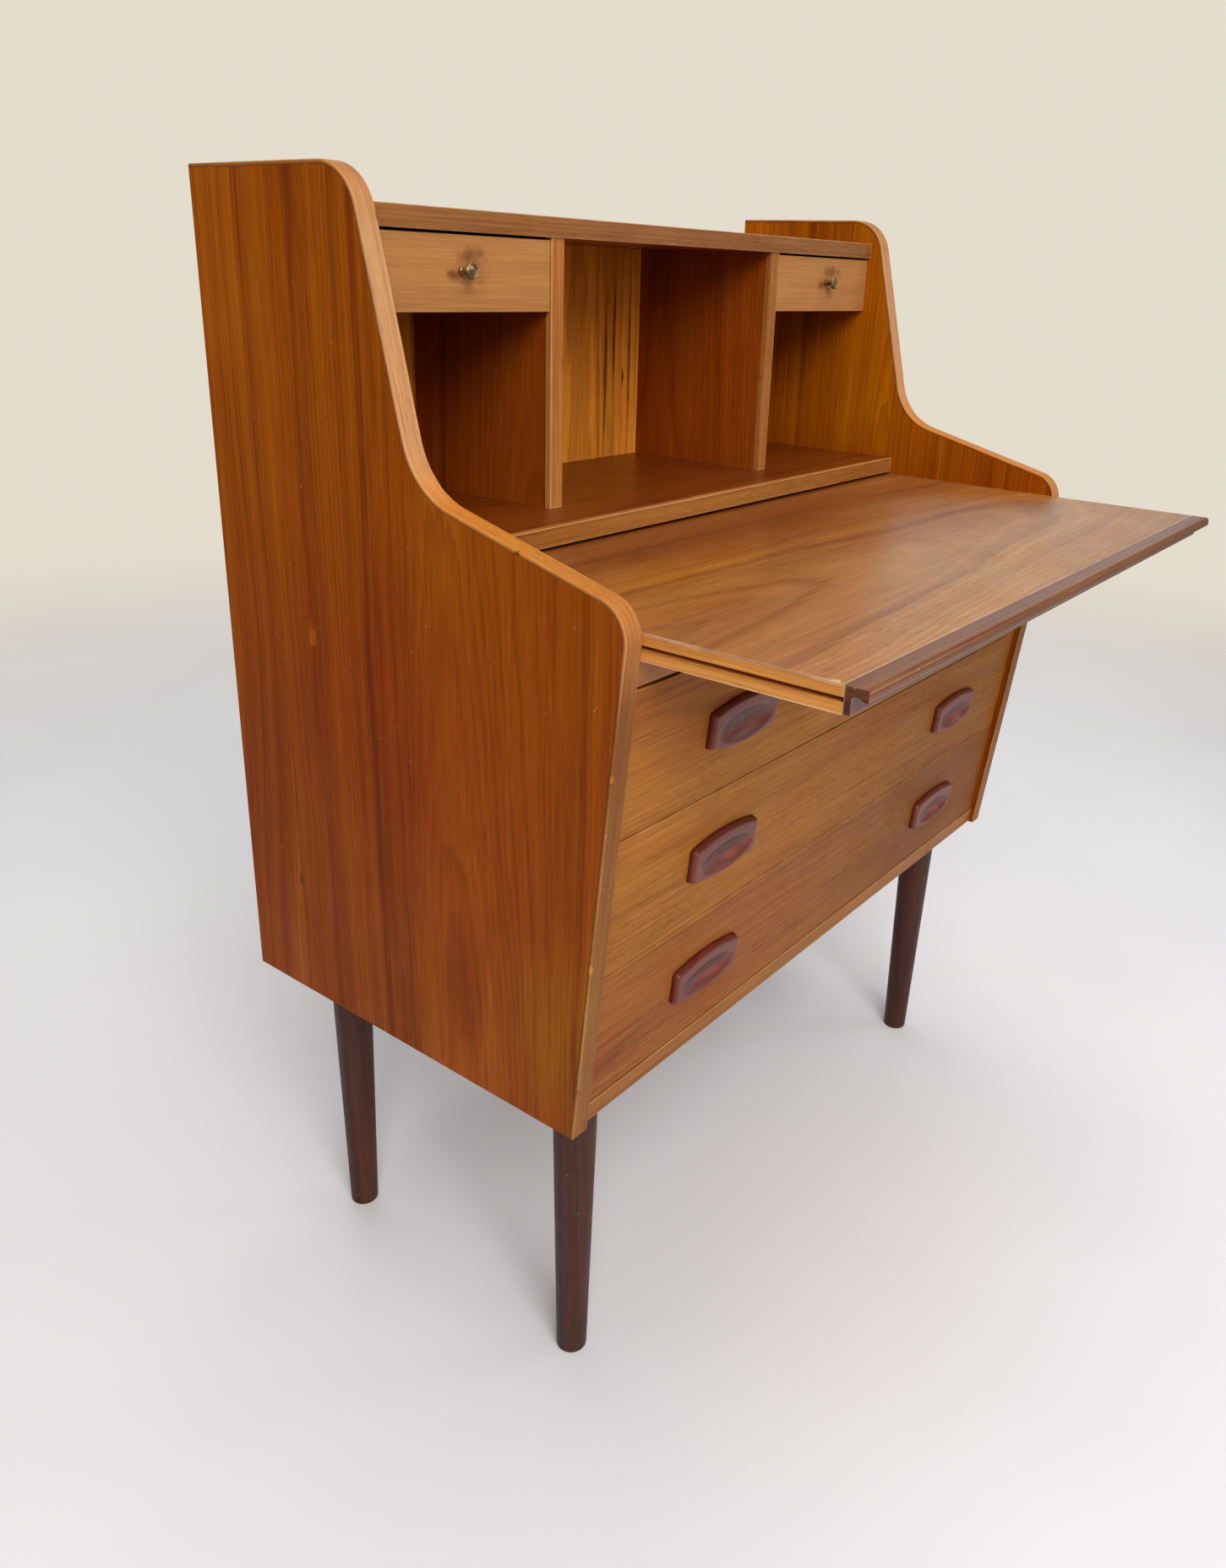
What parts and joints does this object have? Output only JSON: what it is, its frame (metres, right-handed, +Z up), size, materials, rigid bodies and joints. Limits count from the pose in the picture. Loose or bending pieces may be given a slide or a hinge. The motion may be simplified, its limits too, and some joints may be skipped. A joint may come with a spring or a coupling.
{
  "type": "secretary desk",
  "caption": "Mid-century secretary desk: curved sides, gallery with small drawers, pull-out writing leaf over wide drawers with scooped wooden handles, on turned legs.",
  "frame": {"origin": "on the floor at the middle of the footprint of the whole desk with its leaf pulled out as at rest", "axes": "+X to the sitter's right across the desk, +Y from the sitter towards the back, +Z up"},
  "size_m": [0.81, 0.617, 1.028],
  "materials": {
    "side_veneer": "satin oiled veneer, upright grain, warm orange brown",
    "solid_lipping": "satin solid edging, slightly paler than the veneer",
    "dark_teak": "satin veneer, deep red brown",
    "inner_panel": "matt unfinished board",
    "back_veneer": "satin golden veneer with dark upright streaks",
    "drawer_veneer": "satin golden brown veneer, grain across",
    "gallery_veneer": "satin light orange veneer, grain across",
    "leaf_veneer": "satin veneer with an arched figure and short dark pores",
    "beech": "matt pale solid wood",
    "plywood": "matt thin board",
    "dark_hardwood": "semi matt dark brown turned wood",
    "handle_hardwood": "polished dark reddish hardwood",
    "brass": "aged polished",
    "steel": "dull"
  },
  "bodies": {
    "carcass": {"side_left": "side_veneer", "side_right": "side_veneer", "side_left_lipping": "solid_lipping", "side_right_lipping": "solid_lipping", "bottom_panel": "inner_panel", "bottom_lipping": "solid_lipping", "front_rail": "dark_teak", "gallery_floor": "dark_teak", "gallery_floor_lipping": "solid_lipping", "gallery_top": "side_veneer", "gallery_top_lipping": "solid_lipping", "divider_left": "dark_teak", "divider_right": "dark_teak", "divider_lippings": "solid_lipping", "lower_back": "plywood", "gallery_back": "back_veneer", "back_screws": "steel", "drawer_runners": "beech", "gallery_drawer_runners": "beech", "leaf_runners": "steel", "runner_screws": "steel", "leg_front_left": "dark_hardwood", "leg_front_right": "dark_hardwood", "leg_back_left": "dark_hardwood", "leg_back_right": "dark_hardwood", "leg_bolts": "steel", "leg_nuts": "steel"},
    "leaf": {"leaf_panel": "leaf_veneer", "leaf_rail_left": "beech", "leaf_rail_right": "beech", "leaf_back_rail": "beech", "leaf_lip": "solid_lipping"},
    "bottom_drawer": {"bottom_drawer_front": "drawer_veneer", "bottom_drawer_side_left": "beech", "bottom_drawer_side_right": "beech", "bottom_drawer_back": "beech", "bottom_drawer_bottom": "plywood", "bottom_drawer_handles": "handle_hardwood"},
    "middle_drawer": {"middle_drawer_front": "drawer_veneer", "middle_drawer_side_left": "beech", "middle_drawer_side_right": "beech", "middle_drawer_back": "beech", "middle_drawer_bottom": "plywood", "middle_drawer_handles": "handle_hardwood"},
    "top_drawer": {"top_drawer_front": "drawer_veneer", "top_drawer_side_left": "beech", "top_drawer_side_right": "beech", "top_drawer_back": "beech", "top_drawer_bottom": "plywood", "top_drawer_handles": "handle_hardwood"},
    "gallery_drawer_left": {"gallery_drawer_left_front": "gallery_veneer", "gallery_drawer_left_sides": "beech", "gallery_drawer_left_back": "beech", "gallery_drawer_left_bottom": "plywood", "gallery_drawer_left_knob": "brass"},
    "gallery_drawer_right": {"gallery_drawer_right_front": "gallery_veneer", "gallery_drawer_right_sides": "beech", "gallery_drawer_right_back": "beech", "gallery_drawer_right_bottom": "plywood", "gallery_drawer_right_knob": "brass"}
  },
  "joints": [
    {"name": "leaf_slide", "type": "slide", "parent": "carcass", "child": "leaf", "axis": [0, -1, 0], "range_m": [-0.167, 0]},
    {"name": "bottom_drawer_slide", "type": "slide", "parent": "carcass", "child": "bottom_drawer", "axis": [0, -1, 0], "range_m": [0, 0.28]},
    {"name": "middle_drawer_slide", "type": "slide", "parent": "carcass", "child": "middle_drawer", "axis": [0, -1, 0], "range_m": [0, 0.28]},
    {"name": "top_drawer_slide", "type": "slide", "parent": "carcass", "child": "top_drawer", "axis": [0, -1, 0], "range_m": [0, 0.28]},
    {"name": "gallery_drawer_left_slide", "type": "slide", "parent": "carcass", "child": "gallery_drawer_left", "axis": [0, -1, 0], "range_m": [0, 0.11]},
    {"name": "gallery_drawer_right_slide", "type": "slide", "parent": "carcass", "child": "gallery_drawer_right", "axis": [0, -1, 0], "range_m": [0, 0.11]}
  ]
}
